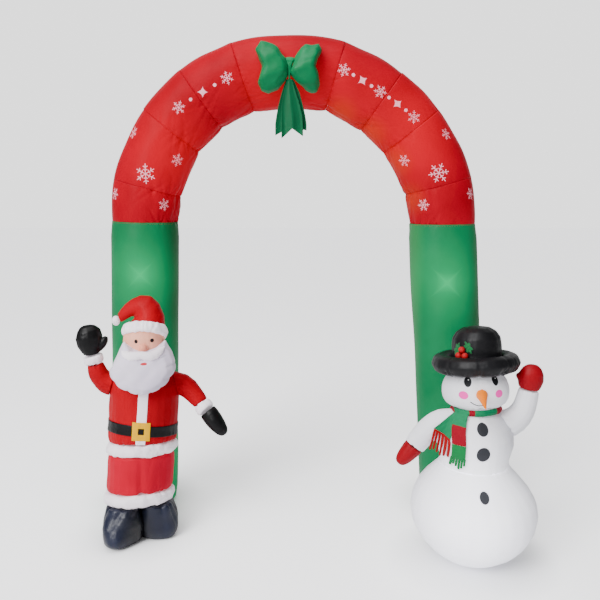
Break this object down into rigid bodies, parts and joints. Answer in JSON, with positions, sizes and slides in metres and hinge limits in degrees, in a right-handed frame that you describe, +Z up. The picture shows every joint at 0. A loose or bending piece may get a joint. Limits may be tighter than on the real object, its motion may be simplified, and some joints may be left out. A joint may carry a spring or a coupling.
{
  "type": "inflatable arch",
  "caption": "Walk-through inflatable holiday arch on tube legs, with a puffed bow, a bearded figure and a snowman.",
  "frame": {"origin": "on the ground, under the middle of the whole arch's box", "axes": "+Z up, +X towards the snowman's leg, -Y towards the side that the bow and the figures face"},
  "size_m": [2.1108, 1.0667, 2.4056],
  "materials": {
    "black_cloth": "satin coated polyester",
    "bow_green_cloth": "semi-gloss coated polyester",
    "gold_cloth": "satin printed polyester",
    "green_coated_cloth": "semi-gloss coated polyester",
    "lilac_white_cloth": "satin coated polyester",
    "orange_cloth": "satin coated polyester",
    "red_cloth": "semi-gloss coated polyester",
    "red_coated_cloth": "semi-gloss coated polyester",
    "scarf_green_cloth": "matt knitted polyester",
    "scarf_red_cloth": "matt knitted polyester",
    "skin_cloth": "satin coated polyester",
    "white_cloth": "satin coated polyester"
  },
  "bodies": {
    "root": {"arch_panel_1": "red_coated_cloth", "arch_panel_2": "red_coated_cloth", "arch_panel_3": "red_coated_cloth", "arch_panel_4": "red_coated_cloth", "arch_panel_5": "red_coated_cloth", "arch_panel_6": "red_coated_cloth", "arch_panel_7": "red_coated_cloth", "arch_panel_8": "red_coated_cloth", "arch_panel_9": "red_coated_cloth", "bow_knot": "bow_green_cloth", "bow_loop_left": "bow_green_cloth", "bow_loop_right": "bow_green_cloth", "bow_tail_back": "bow_green_cloth", "bow_tail_front": "bow_green_cloth", "leg_left": "green_coated_cloth", "leg_right": "green_coated_cloth", "man_beard": "lilac_white_cloth", "man_belt": "black_cloth", "man_boot_left": "black_cloth", "man_boot_right": "black_cloth", "man_buckle": "gold_cloth", "man_cuff_lowered": "white_cloth", "man_cuff_raised": "white_cloth", "man_front_strip_lower": "white_cloth", "man_front_strip_upper": "white_cloth", "man_hat": "red_cloth", "man_hat_band": "white_cloth", "man_head": "skin_cloth", "man_jacket": "red_cloth", "man_jacket_trim": "white_cloth", "man_mitten_lowered": "black_cloth", "man_mitten_raised": "black_cloth", "man_moustache": "lilac_white_cloth", "man_nose": "skin_cloth", "man_pompom": "white_cloth", "man_sleeve_lowered": "red_cloth", "man_sleeve_raised": "red_cloth", "man_trouser_trim": "white_cloth", "man_trousers": "red_cloth", "snow_arm_lowered": "white_cloth", "snow_arm_raised": "white_cloth", "snow_ball": "white_cloth", "snow_berry_1": "red_cloth", "snow_berry_2": "red_cloth", "snow_berry_3": "red_cloth", "snow_fringe_left": "scarf_red_cloth", "snow_fringe_right": "scarf_green_cloth", "snow_hat_brim": "black_cloth", "snow_hat_crown": "black_cloth", "snow_head": "white_cloth", "snow_leaf_left": "scarf_green_cloth", "snow_leaf_right": "scarf_green_cloth", "snow_mitten_lowered": "red_cloth", "snow_mitten_raised": "red_cloth", "snow_nose": "orange_cloth", "snow_scarf_neck": "scarf_green_cloth", "snow_scarf_tail_left": "scarf_green_cloth", "snow_scarf_tail_right": "scarf_red_cloth", "snow_torso": "white_cloth"}
  },
  "joints": []
}
